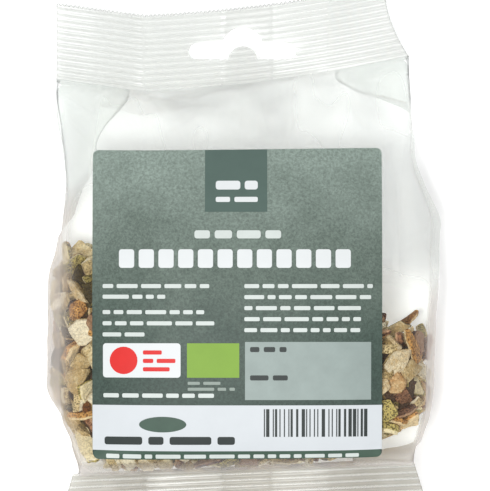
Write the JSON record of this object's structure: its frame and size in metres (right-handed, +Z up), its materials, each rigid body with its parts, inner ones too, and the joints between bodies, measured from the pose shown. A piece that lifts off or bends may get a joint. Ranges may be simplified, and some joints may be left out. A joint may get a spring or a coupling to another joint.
{
  "type": "clear sealed pack of dried orange peel",
  "caption": "Clear side-gusseted film pack with crimped seals, a hang slot and a plain label, full of cut dried orange peel, lying on its back.",
  "frame": {"origin": "middle of the pack's footprint, on the surface that it lies on", "axes": "+X to the pack's right as its label is read, +Y along the pack towards the seal with the hang slot, +Z up out of the label"},
  "size_m": [0.118, 0.1584, 0.0505],
  "materials": {
    "film": "clear, slightly milky polypropylene film, soft gloss, creased",
    "label": "matte coated paper with a mottled grey-green print and a white band",
    "peel": "dry cut peel, cream pith with a pitted olive to brown rind"
  },
  "bodies": {
    "root": {"bag": "film", "label": "label"}
  },
  "joints": []
}
